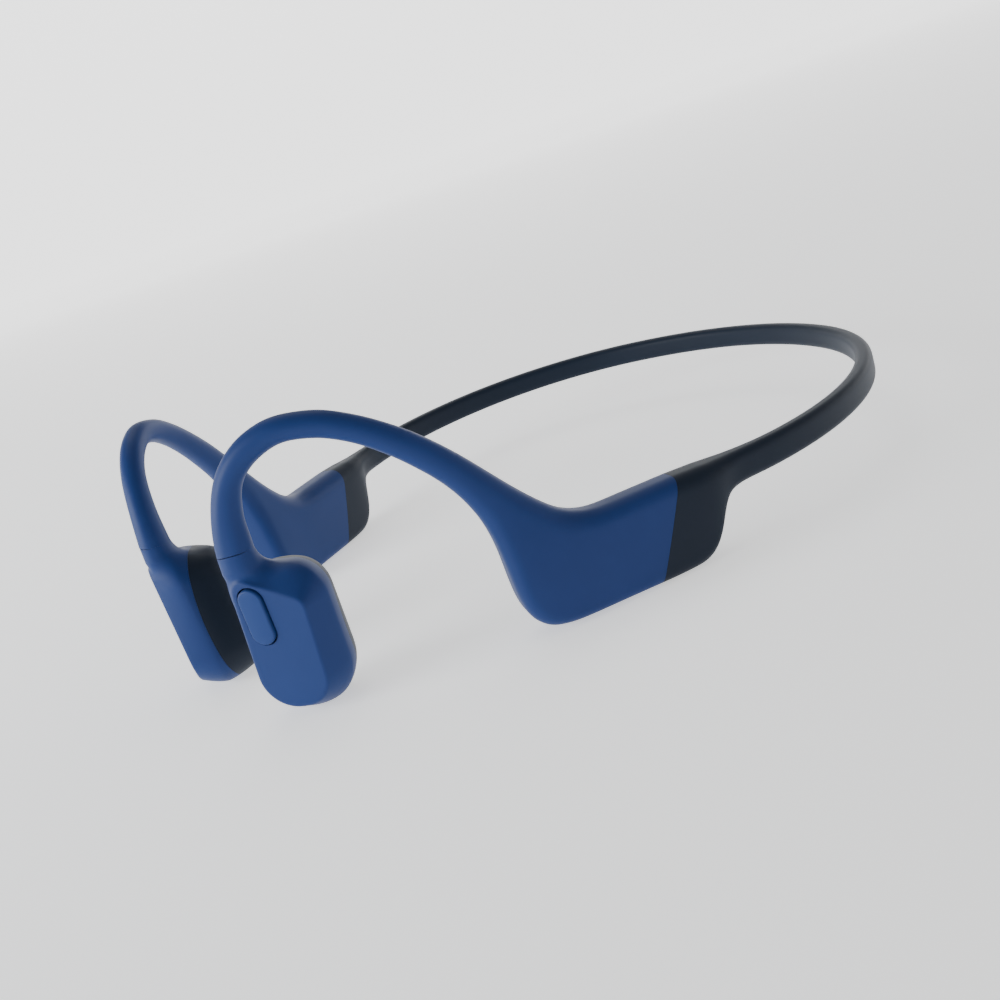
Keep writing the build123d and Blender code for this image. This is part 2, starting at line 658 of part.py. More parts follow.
# ---------------------------------------------------------------- right module: electronics
FLOOR = 1.9              # inside of the module's floor
BUTTON_WALL_GAP = 0.3
VOLUME_FLANGE = 0.5
VOLUME_LIP = (0.9, 1.0)  # the flange is this much longer and wider than the button
VOLUME_EDGE = 0.2
VOLUME_SWITCH = 0.7
SWITCH_BODY = (3.2, 2.4, 0.3)
VOLUME_PLUNGER = (0.7, 0.25)
volume_flange_z = FLOOR + BUTTON_WALL_GAP
volume_switch_z = volume_flange_z + VOLUME_FLANGE + 0.3
volume_board_z = volume_switch_z + VOLUME_SWITCH
REAR_MIC_S = 19.5
REAR_MIC_HEIGHT = 0.9
floor_cut = CUT_LEAD + FLOOR + 0.1

with BuildPart() as right_hook_blank:
    add(ear_hook.part)
    for button_s in VOLUME_AT.values():
        with BuildSketch(module_plane(button_s, -CUT_LEAD)):
            SlotOverall(VOLUME_LENGTH + 2 * VOLUME_SLIT, VOLUME_WIDTH + 2 * VOLUME_SLIT)
        extrude(amount=floor_cut, mode=Mode.SUBTRACT)
    with BuildSketch(module_plane(REAR_MIC_S, -CUT_LEAD)):
        Circle(MIC_HOLE_RADIUS)
    extrude(amount=floor_cut, mode=Mode.SUBTRACT)
save_mirrored(right_hook_blank.part, "right_ear_hook")

for name, button_s in VOLUME_AT.items():
    with BuildPart() as volume_button:
        with BuildSketch(module_plane(button_s, VOLUME_BOTTOM)):
            SlotOverall(VOLUME_LENGTH, VOLUME_WIDTH)
        extrude(amount=volume_flange_z - VOLUME_BOTTOM)
        fillet(volume_button.faces().sort_by(Axis.Z)[0].edges(), VOLUME_EDGE)
        with BuildSketch(module_plane(button_s, volume_flange_z)):
            SlotOverall(VOLUME_LENGTH + VOLUME_LIP[0], VOLUME_WIDTH + VOLUME_LIP[1])
        extrude(amount=VOLUME_FLANGE)
    save_mirrored(volume_button.part, f"{name}_button")
    with BuildPart() as volume_switch:
        with BuildSketch(module_plane(button_s, volume_switch_z)):
            Circle(VOLUME_PLUNGER[0])
        extrude(amount=VOLUME_SWITCH)
        with BuildSketch(module_plane(button_s, volume_switch_z + VOLUME_PLUNGER[1])):
            RectangleRounded(*SWITCH_BODY)
        extrude(amount=VOLUME_SWITCH - VOLUME_PLUNGER[1])
    save_mirrored(volume_switch.part, f"{name}_switch")

VOLUME_BOARD_S = 28.0
VOLUME_BOARD = (11.6, 3.4, 0.4)
with BuildPart() as volume_board:
    with BuildSketch(module_plane(VOLUME_BOARD_S, volume_board_z)):
        RectangleRounded(*VOLUME_BOARD)
    extrude(amount=BOARD_THICK)
save_mirrored(volume_board.part, "volume_board")

MAIN_BOARD_Z = volume_board_z + BOARD_THICK + 0.1
MAIN_BOARD_TOP = 12.3
MAIN_BOARD_S = 21.6
MAIN_BOARD = (17.6, 0.7)
MAIN_BOARD_OUT = 0.4     # toward the outer wall from the module's middle
CHIP_AT = (19.5, 6.2, 1.45)
CHIP = (8.0, 1.38, 0.3)
CHIP_HEIGHT = 5.6
with BuildPart() as main_board:
    with BuildSketch(module_plane(MAIN_BOARD_S, MAIN_BOARD_Z, MAIN_BOARD_OUT)):
        Rectangle(*MAIN_BOARD)
    extrude(amount=MAIN_BOARD_TOP - MAIN_BOARD_Z)
save_mirrored(main_board.part, "main_board")
with BuildPart() as bluetooth_module:
    with BuildSketch(module_plane(*CHIP_AT)):
        RectangleRounded(*CHIP)
    extrude(amount=CHIP_HEIGHT)
save_mirrored(bluetooth_module.part, "bluetooth_module")

with BuildPart() as ambient_microphone:
    with BuildSketch(module_plane(REAR_MIC_S - 0.4, FLOOR + MIC_PLAY)):
        RectangleRounded(MIC_SIZE[0], MIC_SIZE[1], MIC_CORNER)
    extrude(amount=REAR_MIC_HEIGHT)
save_mirrored(ambient_microphone.part, "ambient_microphone")
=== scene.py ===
"""Looks of the bone conduction headphones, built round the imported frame.

Lengths are in millimetres until a mesh is made."""

import json
import math

import bmesh
import bpy
import numpy as np
from mathutils import Matrix, Vector


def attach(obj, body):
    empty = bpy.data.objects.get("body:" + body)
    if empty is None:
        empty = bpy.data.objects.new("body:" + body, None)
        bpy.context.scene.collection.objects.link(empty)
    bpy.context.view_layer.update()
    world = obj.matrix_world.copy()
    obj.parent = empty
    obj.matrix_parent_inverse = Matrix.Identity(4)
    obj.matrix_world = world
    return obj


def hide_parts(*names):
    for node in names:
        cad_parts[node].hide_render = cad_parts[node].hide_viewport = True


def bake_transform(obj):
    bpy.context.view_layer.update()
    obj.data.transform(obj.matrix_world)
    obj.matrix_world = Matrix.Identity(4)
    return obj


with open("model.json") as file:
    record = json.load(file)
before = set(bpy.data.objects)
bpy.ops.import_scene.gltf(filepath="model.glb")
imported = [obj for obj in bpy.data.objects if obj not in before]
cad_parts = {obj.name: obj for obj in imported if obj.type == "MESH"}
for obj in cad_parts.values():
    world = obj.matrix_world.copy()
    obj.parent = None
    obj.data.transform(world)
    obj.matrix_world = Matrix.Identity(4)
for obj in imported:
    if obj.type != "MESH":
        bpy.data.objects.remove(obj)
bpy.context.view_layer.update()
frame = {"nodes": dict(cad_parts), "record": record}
MM = 0.001

# ---------------------------------------------------------------- plan of the arms, as in the CAD
BACK_Y = 68.5
BACK_RADIUS = 64.0
BACK_SWEEP = math.radians(25.0)
SIDE_RADIUS = 49.5
MODULE_TURN = math.radians(22.0)
MODULE_RUN = 30.0
FRONT_RADIUS = 98.0
BACK_CENTRE = np.array([0.0, BACK_Y - BACK_RADIUS])
ARC_STEP = BACK_RADIUS - SIDE_RADIUS
SIDE_CENTRE = BACK_CENTRE + ARC_STEP * np.array([math.sin(BACK_SWEEP), math.cos(BACK_SWEEP)])
HINGE_HEADING = BACK_SWEEP - math.pi / 2
HINGE_S = (HINGE_HEADING - MODULE_TURN) * SIDE_RADIUS
BACK_S = HINGE_S - BACK_SWEEP * BACK_RADIUS
DRIVER_ORIGIN = np.array([11.9, -70.0, 10.8])
DRIVER_YAW = math.radians(62.0)
DRIVER_TILT = math.radians(2.1)


def on_arc(centre, radius, heading):
    return np.stack([centre[0] + radius * np.cos(heading), centre[1] - radius * np.sin(heading)], -1)


RUN_START = on_arc(SIDE_CENTRE, SIDE_RADIUS, np.array(MODULE_TURN))
RUN_STEP = np.array([-math.sin(MODULE_TURN), -math.cos(MODULE_TURN)])
FRONT_CENTRE = RUN_START + RUN_STEP * MODULE_RUN - on_arc((0, 0), FRONT_RADIUS, np.array(MODULE_TURN))


def path(s):
    """Plan points and headings of the left arm's centre line at lengths s."""
    s = np.asarray(s, float)
    heading = np.full(s.shape, MODULE_TURN)
    heading = np.where(s > MODULE_RUN, MODULE_TURN + (s - MODULE_RUN) / FRONT_RADIUS, heading)
    heading = np.where(s < 0, MODULE_TURN + s / SIDE_RADIUS, heading)
    heading = np.where(s < HINGE_S, HINGE_HEADING + (s - HINGE_S) / BACK_RADIUS, heading)
    points = RUN_START + s[..., None] * RUN_STEP
    points = np.where((s > MODULE_RUN)[..., None], on_arc(FRONT_CENTRE, FRONT_RADIUS, heading), points)
    points = np.where((s < 0)[..., None], on_arc(SIDE_CENTRE, SIDE_RADIUS, heading), points)
    points = np.where((s < HINGE_S)[..., None], on_arc(BACK_CENTRE, BACK_RADIUS, heading), points)
    return points, heading


def place(s, z, outward):
    """World points of arm coordinates: along the arm, up, outward."""
    points, heading = path(s)
    out = np.stack([np.cos(heading), -np.sin(heading)], -1)
    plan = points + out * np.asarray(outward)[..., None]
    return np.concatenate([plan, np.broadcast_to(z, plan.shape[:-1])[..., None]], -1)


def front_coordinates(points):
    """Arm coordinates (s, z, outward) of world points beside the ear hook's arc."""
    away = points[..., :2] - FRONT_CENTRE
    heading = np.arctan2(-away[..., 1], away[..., 0])
    s = MODULE_RUN + FRONT_RADIUS * (heading - MODULE_TURN)
    return s, points[..., 2], np.hypot(away[..., 0], away[..., 1]) - FRONT_RADIUS


# axes of the transducer: rearward, upward, and outward from its flat face
DRIVER_OUT = np.array([
    math.cos(DRIVER_YAW) * math.cos(DRIVER_TILT),
    -math.sin(DRIVER_YAW) * math.cos(DRIVER_TILT),
    -math.sin(DRIVER_TILT)])
DRIVER_REAR = np.array([math.sin(DRIVER_YAW), math.cos(DRIVER_YAW), 0.0])
DRIVER_UP = np.cross(DRIVER_OUT, DRIVER_REAR)


def driver_point(a, b, depth):
    """World point at a rearward, b upward and depth behind the transducer's flat face."""
    a, b, depth = np.broadcast_arrays(a, b, depth)
    return (DRIVER_ORIGIN + a[..., None] * DRIVER_REAR + b[..., None] * DRIVER_UP
            - depth[..., None] * DRIVER_OUT)


# ---------------------------------------------------------------- numbers and curves
def smoothstep(x, low, high):
    t = np.clip((x - low) / (high - low), 0, 1)
    return t * t * (3 - 2 * t)


def smooth_min(a, b, k):
    h = np.maximum(k - np.abs(a - b), 0) / k
    return np.minimum(a, b) - h * h * k / 4


def smooth_max(a, b, k):
    return -smooth_min(-a, -b, k)


def monotone(x, y, at):
    """Monotone cubic interpolation of the columns of y."""
    x, y = np.asarray(x, float), np.asarray(y, float)
    h = np.diff(x)[:, None]
    slope = np.diff(y, axis=0) / h
    tangent = np.zeros_like(y)
    left, right = slope[:-1], slope[1:]
    same = left * right > 0
    w1 = 2 * h[1:] + h[:-1]
    w2 = h[1:] + 2 * h[:-1]
    with np.errstate(divide="ignore", invalid="ignore"):
        harmonic = (w1 + w2) / (w1 / left + w2 / right)
    tangent[1:-1] = np.where(same, harmonic, 0)
    tangent[0], tangent[-1] = slope[0], slope[-1]
    at = np.asarray(at, float)
    i = np.clip(np.searchsorted(x, at) - 1, 0, len(x) - 2)
    t = ((at - x[i]) / (x[i + 1] - x[i]))[:, None]
    span = (x[i + 1] - x[i])[:, None]
    a = y[i] * (1 + 2 * t) * (1 - t) ** 2 + y[i + 1] * t * t * (3 - 2 * t)
    return a + span * (tangent[i] * t * (1 - t) ** 2 - tangent[i + 1] * t * t * (1 - t))


def blurred(values, sigma):
    """Gaussian blur of evenly spaced rows that keeps both end rows."""
    reach = int(math.ceil(3 * sigma))
    kernel = np.exp(-0.5 * (np.arange(-reach, reach + 1) / sigma) ** 2)
    kernel /= kernel.sum()
    head = 2 * values[0] - values[reach:0:-1]
    tail = 2 * values[-1] - values[-2:-reach - 2:-1]
    padded = np.concatenate([head, values, tail])
    columns = [np.convolve(padded[:, i], kernel, "valid") for i in range(values.shape[1])]
    return np.stack(columns, 1)


def evenly(closed_points, count):
    """count points at even steps round a closed outline, from its first point."""
    ring = np.vstack([closed_points, closed_points[:1]])
    length = np.concatenate([[0], np.cumsum(np.linalg.norm(np.diff(ring, axis=0), axis=1))])
    at = np.linspace(0, length[-1], count, endpoint=False)
    return np.stack([np.interp(at, length, ring[:, i]) for i in range(ring.shape[1])], 1)


# ---------------------------------------------------------------- mesh making
def add_mesh(name, points, faces, mirror=False):
    """A smooth-shaded object from points in mm; mirror puts it on the wearer's right."""
    points = np.array(points, float) * MM
    if mirror:
        points[:, 0] *= -1
        faces = [tuple(reversed(face)) for face in faces]
    mesh = bpy.data.meshes.new(name)
    mesh.from_pydata(points.tolist(), [], [tuple(int(v) for v in face) for face in faces])
    mesh.validate()
    thing = bpy.data.objects.new(name, mesh)
    bpy.context.scene.collection.objects.link(thing)
    shade(thing)
    return thing


def shade(thing, angle=38.0):
    thing.data.shade_smooth()
    thing.data.set_sharp_from_angle(angle=math.radians(angle))


def loft(rings, close_start=True, close_end=True):
    """Points and faces of a tube through rings of equal size; a closed end gets a flat lid."""
    count, size = rings.shape[:2]
    points = [rings.reshape(-1, 3)]
    faces = []
    for i in range(count - 1):
        for j in range(size):
            k = (j + 1) % size
            faces.append((i * size + j, i * size + k, (i + 1) * size + k, (i + 1) * size + j))
    total = count * size
    for closed, first, flip in ((close_start, 0, True), (close_end, (count - 1) * size, False)):
        if not closed:
            continue
        ring = rings[0] if first == 0 else rings[-1]
        points.append(ring.mean(0)[None])
        for j in range(size):
            face = (first + j, first + (j + 1) % size, total)
            faces.append(tuple(reversed(face)) if flip else face)
        total += 1
    return np.concatenate(points), faces


def outward_normals(thing):
    work = bmesh.new()
    work.from_mesh(thing.data)
    bmesh.ops.recalc_face_normals(work, faces=work.faces)
    work.to_mesh(thing.data)
    work.free()
    return thing


def cut(thing, *cutters):
    """Takes the cutters out of thing and removes them."""
    for cutter in cutters:
        modifier = thing.modifiers.new("cut", "BOOLEAN")
        modifier.operation = "DIFFERENCE"
        modifier.solver = "EXACT"
        modifier.object = cutter
    bpy.context.view_layer.update()
    result = bpy.data.meshes.new_from_object(thing.evaluated_get(bpy.context.evaluated_depsgraph_get()))
    thing.modifiers.clear()
    thing.data = result
    for cutter in cutters:
        bpy.data.objects.remove(cutter)
    shade(thing)
    return thing


# ---------------------------------------------------------------- cross-sections of the skins
RING = 88                # points round one section
DENSE = 900              # points of the outline that a section is smoothed at
FINE_ROWS = 1200         # steps along an arm that its stations are smoothed at
CORNER_STEPS = 24
CORNER_LIMIT = 0.985     # largest corner, as a share of the section's smaller half
CORNER_BLUR = 0.22       # smoothing of the outline, as a share of its smallest corner
SEAM_FADE = 5.0          # height over which the neck seam's lean dies out
NECK_FROM_S = 60.0       # stations past this s are at the hook's front


def section(height, thick, radii, crown):
    """Rounded box outline, p up and q outward, with its own radius at each corner.

    radii are top outer, top inner, bottom inner, bottom outer; crown bows the two flat sides."""
    half_p, half_q = height / 2, thick / 2
    limit = CORNER_LIMIT * min(half_p, half_q)
    corners = ((1, 1, 0), (1, -1, 1), (-1, -1, 2), (-1, 1, 3))
    pieces = []
    for p_sign, q_sign, index in corners:
        radius = min(radii[index], limit)
        centre = np.array([p_sign * (half_p - radius), q_sign * (half_q - radius)])
        start = {0: 90, 1: 0, 2: -90, 3: -180}[index]
        angle = np.radians(np.linspace(start, start - 90, CORNER_STEPS))
        pieces.append(centre + radius * np.stack([np.cos(angle), np.sin(angle)], 1))
    outline = np.concatenate(pieces)
    outline = np.roll(outline, -np.argmin(np.abs(outline[:, 0]) + 10 * (outline[:, 1] < 0)), 0)
    dense = evenly(outline, DENSE)
    step = np.linalg.norm(dense[1] - dense[0])
    sigma = CORNER_BLUR * min(radii) / step
    reach = int(3 * sigma) + 1
    kernel = np.exp(-0.5 * (np.arange(-reach, reach + 1) / sigma) ** 2)
    kernel /= kernel.sum()
    wrapped = np.concatenate([dense[-reach:], dense, dense[:reach]])
    soft = np.stack([np.convolve(wrapped[:, i], kernel, "valid") for i in range(2)], 1)
    soft *= np.array([half_p, half_q]) / np.abs(soft).max(0)
    bow = np.clip(1 - (soft[:, 0] / half_p) ** 2, 0, 1)
    soft[:, 1] *= (half_q - crown * (1 - bow)) / half_q
    return soft


def skin(stations, count, sigma):
    """Rings through stations of (upper (s, z), lower (s, z), half thickness, four radii, crown)."""
    table = np.array([[*top, *bottom, half, *radii, crown]
                      for top, bottom, half, radii, crown in stations], float)
    middle = (table[:, 0:2] + table[:, 2:4]) / 2
    along = np.concatenate([[0], np.cumsum(np.linalg.norm(np.diff(middle, axis=0), axis=1))])
    fine = monotone(along, table, np.linspace(0, along[-1], FINE_ROWS))
    fine = blurred(fine, sigma * FINE_ROWS / along[-1])
    rows = fine[np.round(np.linspace(0, len(fine) - 1, count)).astype(int)]
    rings = []
    for row in rows:
        top, bottom = row[0:2], row[2:4]
        axis = top - bottom
        height = np.linalg.norm(axis)
        outline = section(height, 2 * row[4], row[5:9], row[9])
        outline = evenly(outline, RING)
        spot = (top + bottom) / 2 + outline[:, :1] * axis / height
        fade = 1 - smoothstep(spot[:, 1].mean(), NECK_SEAM_Z, NECK_SEAM_Z + SEAM_FADE)
        lean = SEAM_TILT * outline[:, 1] * fade * (row[0] > NECK_FROM_S)
        rings.append(place(spot[:, 0], spot[:, 1] + lean, outline[:, 1]))
    return np.array(rings)


# ---------------------------------------------------------------- ear hooks with their modules
NECK_SEAM_Z = 26.8       # where the hook meets the transducer's neck
SEAM_S = 77.2
SEAM_TILT = 0.15         # rise of that seam per mm outward
HOOK_RINGS, HOOK_BLUR = 230, 1.1
BAND_RINGS, BAND_BLUR = 340, 0.8
# upper edge (s, z), lower edge (s, z), half thickness, corner radii, crown of the flat sides
HOOK = [
    ((80.0, 26.87), (74.35, 26.87), 2.38, (2.3, 2.3, 2.3, 2.3), 0.0),
    ((79.75, 28.7), (74.2, 28.7), 2.24, (2.5, 2.5, 2.5, 2.5), 0.0),
    ((79.2, 31.0), (74.15, 30.6), 2.12, (2.35, 2.35, 2.35, 2.35), 0.0),
    ((78.0, 34.4), (73.5, 33.6), 2.0, (2.1, 2.1, 2.1, 2.1), 0.0),
    ((76.2, 37.9), (72.4, 36.2), 1.94, (2.0, 2.0, 2.0, 2.0), 0.0),
    ((73.5, 40.9), (70.9, 37.8), 1.92, (1.9, 1.9, 1.9, 1.9), 0.0),
    ((69.8, 43.2), (68.5, 39.3), 1.92, (1.9, 1.9, 1.9, 1.9), 0.0),
    ((64.9, 44.35), (64.6, 40.4), 1.94, (1.9, 1.9, 1.9, 1.9), 0.0),
    ((59.3, 43.5), (60.5, 39.7), 1.97, (1.9, 1.9, 1.9, 1.9), 0.0),
    ((54.3, 41.2), (56.0, 37.6), 2.05, (1.9, 1.9, 1.9, 1.9), 0.0),
    ((48.6, 37.2), (51.2, 33.8), 2.15, (2.0, 2.0, 2.0, 2.0), 0.0),
    ((45.4, 34.3), (48.4, 30.9), 2.25, (2.0, 2.0, 2.0, 2.0), 0.0),
    ((41.8, 30.4), (45.6, 27.5), 2.4, (2.1, 2.1, 2.1, 2.1), 0.05),
    ((38.6, 26.4), (43.3, 23.6), 2.65, (2.3, 2.3, 2.2, 2.2), 0.1),
    ((35.4, 22.4), (41.6, 18.8), 3.05, (2.6, 2.6, 2.3, 2.3), 0.15),
    ((32.6, 19.3), (40.9, 14.0), 3.5, (2.8, 3.0, 2.3, 2.3), 0.2),
    ((30.3, 17.2), (40.7, 9.0), 3.85, (2.9, 3.2, 2.2, 2.2), 0.25),
    ((28.3, 16.1), (40.2, 4.4), 4.05, (2.9, 3.4, 2.1, 2.1), 0.25),
    ((26.4, 15.45), (37.4, 1.05), 4.15, (2.8, 3.5, 1.9, 1.9), 0.25),
    ((24.0, 15.1), (33.4, 0.45), 4.2, (2.7, 3.5, 1.6, 1.6), 0.25),
    ((18.0, 15.0), (26.2, 0.3), 4.2, (2.6, 3.5, 1.5, 1.5), 0.25),
    ((12.03, 14.9), (19.33, 0.15), 4.2, (2.6, 3.5, 1.5, 1.5), 0.25),
]
CAP = [
    ((12.0, 14.9), (19.3, 0.15), 4.2, (2.6, 3.5, 1.5, 1.5), 0.25),
    ((10.2, 14.8), (15.6, 0.1), 4.2, (2.6, 3.4, 1.5, 1.5), 0.25),
    ((8.6, 14.7), (12.2, 0.1), 4.16, (2.6, 3.3, 1.6, 1.6), 0.25),
    ((7.4, 14.65), (9.9, 0.55), 4.05, (2.5, 3.1, 1.7, 1.7), 0.22),
    ((6.3, 14.55), (8.3, 1.75), 3.9, (2.4, 2.9, 1.8, 1.8), 0.2),
    ((5.2, 14.45), (7.1, 3.3), 3.65, (2.3, 2.7, 1.8, 1.8), 0.18),
    ((4.0, 14.4), (6.0, 5.4), 3.3, (2.1, 2.4, 1.7, 1.7), 0.15),
    ((2.6, 14.3), (4.7, 7.4), 2.85, (1.9, 2.1, 1.6, 1.6), 0.12),
    ((0.8, 14.25), (2.9, 8.75), 2.4, (1.6, 1.8, 1.4, 1.4), 0.1),
    ((-1.6, 14.2), (-0.4, 9.15), 2.0, (1.4, 1.5, 1.3, 1.3), 0.06),
    ((-5.0, 14.12), (-4.6, 9.1), 1.75, (1.25, 1.3, 1.2, 1.2), 0.04),
    ((-12.0, 14.05), (-12.0, 9.15), 1.64, (1.15, 1.15, 1.1, 1.1), 0.03),
    ((-40.0, 13.95), (-40.0, 9.25), 1.56, (1.1, 1.1, 1.05, 1.05), 0.03),
    ((HINGE_S, 13.85), (HINGE_S, 9.35), 1.48, (1.1, 1.1, 1.05, 1.05), 0.03),
    ((BACK_S, 13.8), (BACK_S, 9.4), 1.44, (1.1, 1.1, 1.05, 1.05), 0.03),
]

hook_points, hook_faces = loft(skin(HOOK, HOOK_RINGS, HOOK_BLUR))
left_hook = outward_normals(add_mesh("left_hook_skin", hook_points, hook_faces))
right_hook = outward_normals(add_mesh("right_hook_skin", hook_points, hook_faces, mirror=True))
band_points, band_faces = loft(skin(CAP, BAND_RINGS, BAND_BLUR), close_end=False)
left_band = outward_normals(add_mesh("left_band_skin", band_points, band_faces))
right_band = outward_normals(add_mesh("right_band_skin", band_points, band_faces, mirror=True))

# ---------------------------------------------------------------- transducers, as one smooth solid
# corners (rearward, upward) and their radii: top front, top rear, bottom rear, bottom front
FACE = ([(1.65, 13.45), (12.35, 7.75), (10.5, -8.95), (-1.0, -8.95)], [2.1, 1.8, 5.2, 5.0])
RIM = ([(-1.5, 12.6), (14.35, 12.3), (13.0, -11.0), (-2.2, -11.0)], [4.0, 5.6, 7.6, 6.5])
CONTACT = ([(1.2, 10.6), (10.4, 10.4), (9.7, -9.2), (0.6, -9.2)], [4.0, 4.5, 4.5, 4.5])
SHELL_DEPTH = 6.0
DRIVER_DEPTH = 12.0
WIDEST_DEPTH = 4.4
FLARE = 1.45             # how soon the sides reach the rim behind the face
TAPER = 1.6              # how late they draw in toward the contact face
TAPER_END = 1.2
FACE_RUN_OUT = 0.35      # sides lean in this much per mm in front of the face
FACE_EDGE, CONTACT_EDGE = 0.4, 2.6                # rounding of the body's two ends
NECK_FILLET = (1.0, 2.4)                          # fillet at the face, and its growth behind
NECK_FILLET_DEPTH = 5.0
FACET_EDGE, FACET_CUT = 0.18, 0.2                 # rounding of the flat facet's edges
NECK_FOOT_Z = 15.5
NECK_FOOT_EDGE = 3.0
NECK_POWER = 2.2         # squareness of the neck's section
NECK_CORE = 0.4
# height, then middle s, half width along the arm, half thickness and outward shift of the neck
NECK = np.array([
    (32.0, 76.5, 2.4, 2.08, 0.0),
    (29.5, 76.95, 2.62, 2.2, 0.0),
    (26.8, 77.18, 2.82, 2.38, 0.0),
    (24.4, 77.15, 3.05, 2.5, -0.05),
    (21.5, 76.7, 3.35, 2.35, -0.4),
    (18.5, 76.0, 3.5, 2.0, -1.0),
    (14.0, 75.2, 3.4, 1.5, -2.0),
])[::-1]


def rounded_outline(corners, radii, steps=18):
    corners = [np.array(corner, float) for corner in corners]
    points = []
    for i, corner in enumerate(corners):
        before = corners[i - 1] - corner
        after = corners[(i + 1) % len(corners)] - corner
        before /= np.linalg.norm(before)
        after /= np.linalg.norm(after)
        half = math.acos(np.clip(before @ after, -1, 1)) / 2
        bisector = (before + after) / np.linalg.norm(before + after)
        centre = corner + bisector * radii[i] / math.sin(half)
        start = corner + before * radii[i] / math.tan(half) - centre
        end = corner + after * radii[i] / math.tan(half) - centre
        first = math.atan2(start[1], start[0])
        sweep = (math.atan2(end[1], end[0]) - first + math.pi) % (2 * math.pi) - math.pi
        angle = first + sweep * np.linspace(0, 1, steps)
        points.append(centre + radii[i] * np.stack([np.cos(angle), np.sin(angle)], 1))
    return np.concatenate(points)


def outline_distance(a, b, outline):
    """Signed distance, negative inside, from points to a closed outline."""
    distance = np.full(a.shape, np.inf)
    inside = np.zeros(a.shape, bool)
    for start, end in zip(outline, np.roll(outline, -1, 0)):
        edge = end - start
        da, db = a - start[0], b - start[1]
        t = np.clip((da * edge[0] + db * edge[1]) / max(edge @ edge, 1e-12), 0, 1)
        distance = np.minimum(distance, np.hypot(da - t * edge[0], db - t * edge[1]))
        if start[1] != end[1]:
            crosses = (start[1] > b) != (end[1] > b)
            inside ^= crosses & (a < edge[0] * (b - start[1]) / edge[1] + start[0])
    return np.where(inside, -distance, distance)


FACE_LINE = rounded_outline(*FACE)
RIM_LINE = rounded_outline(*RIM)
CONTACT_LINE = rounded_outline(*CONTACT)


def neck_distance(points):
    s, z, outward = front_coordinates(points)
    values = [np.interp(z, NECK[:, 0], NECK[:, i]) for i in range(1, 5)]
    ds = (s - values[0]) / values[1]
    dq = (outward - values[3]) / values[2]
    g = (np.abs(ds) ** NECK_POWER + np.abs(dq) ** NECK_POWER) ** (1 / NECK_POWER)
    g = np.maximum(g, 1e-3)
    reach = np.hypot(s - values[0], outward - values[3])
    radial = reach * (1 - 1 / g)
    tube = np.where(reach < NECK_CORE, -np.minimum(values[1], values[2]) * (1 - g), radial)
    return smooth_max(tube, NECK_FOOT_Z - z, NECK_FOOT_EDGE)


def driver_field(a, b, depth, flat=None):
    """Signed field of the transducer, below zero inside. flat holds the three outline distances."""
    if flat is None:
        flat = [outline_distance(a, b, line) for line in (FACE_LINE, RIM_LINE, CONTACT_LINE)]
    face, rim, contact = flat
    x = np.clip(depth / WIDEST_DEPTH, 0, 1)
    flare = 1 - (1 - x) ** FLARE
    y = np.clip((depth - WIDEST_DEPTH) / (DRIVER_DEPTH - WIDEST_DEPTH), 0, TAPER_END)
    taper = y ** TAPER
    front = face * (1 - flare) + rim * flare
    back = rim * (1 - taper) + contact * taper
    side = np.where(depth < WIDEST_DEPTH, front, back)
    side = side + FACE_RUN_OUT * np.minimum(depth, 0)
    body = smooth_max(side, -depth, FACE_EDGE)
    body = smooth_max(body, depth - DRIVER_DEPTH, CONTACT_EDGE)
    neck = neck_distance(driver_point(a, b, depth))
    fillet = NECK_FILLET[0] + NECK_FILLET[1] * smoothstep(depth, 0.0, NECK_FILLET_DEPTH)
    whole = smooth_min(body, neck, fillet)
    facet = smooth_max(face, depth, FACET_EDGE)
    return smooth_max(whole, -facet, FACET_CUT)


def surface_net(field, low, high, step):
    """Points and quads of the zero surface of field over a box."""
    axes = [np.arange(low[i], high[i] + step, step) for i in range(3)]
    value = field(*axes)
    inside = value < 0
    corner = [(i, j, k) for i in (0, 1) for j in (0, 1) for k in (0, 1)]
    size = [n - 1 for n in value.shape]

    def at(array, offset):
        i, j, k = offset
        return array[i:i + size[0], j:j + size[1], k:k + size[2]]

    count = sum(at(inside, c).astype(int) for c in corner)
    cells = np.argwhere((count > 0) & (count < 8))
    index = -np.ones(size, int)
    index[tuple(cells.T)] = np.arange(len(cells))
    total = np.zeros((len(cells), 3))
    hits = np.zeros(len(cells))
    for c0 in corner:
        for axis in range(3):
            if c0[axis]:
                continue
            c1 = tuple(c0[i] + (i == axis) for i in range(3))
            v0 = value[tuple((cells + c0).T)]
            v1 = value[tuple((cells + c1).T)]
            crosses = (v0 < 0) != (v1 < 0)
            t = np.where(crosses, v0 / np.where(crosses, v0 - v1, 1), 0)
            spot = cells + np.array(c0) + t[:, None] * (np.arange(3) == axis)
            total += spot * crosses[:, None]
            hits += crosses
    points = np.array(low) + step * total / hits[:, None]
    faces = []
    for axis in range(3):
        u, v = (axis + 1) % 3, (axis + 2) % 3
        first = inside
        second = np.roll(inside, -1, axis)
        edges = np.argwhere(first != second)
        keep = (edges[:, axis] < value.shape[axis] - 1) & (edges[:, u] > 0) & (edges[:, v] > 0)
        keep &= (edges[:, u] < size[u]) & (edges[:, v] < size[v])
        edges = edges[keep]
        step_u = np.eye(3, dtype=int)[u]
        step_v = np.eye(3, dtype=int)[v]
        around = (edges, edges - step_u, edges - step_u - step_v, edges - step_v)
        quad = np.stack([index[tuple(e.T)] for e in around], 1)
        leaving = inside[tuple(edges.T)]
        quad = np.where(leaving[:, None], quad, quad[:, ::-1])
        faces.append(quad[(quad >= 0).all(1)])
    return points, np.concatenate(faces)


def driver_grid(a, b, depth):
    flat = [outline_distance(*np.meshgrid(a, b, indexing="ij"), line)[:, :, None]
            for line in (FACE_LINE, RIM_LINE, CONTACT_LINE)]
    grid = np.meshgrid(a, b, depth, indexing="ij")
    return driver_field(*grid, flat=flat)


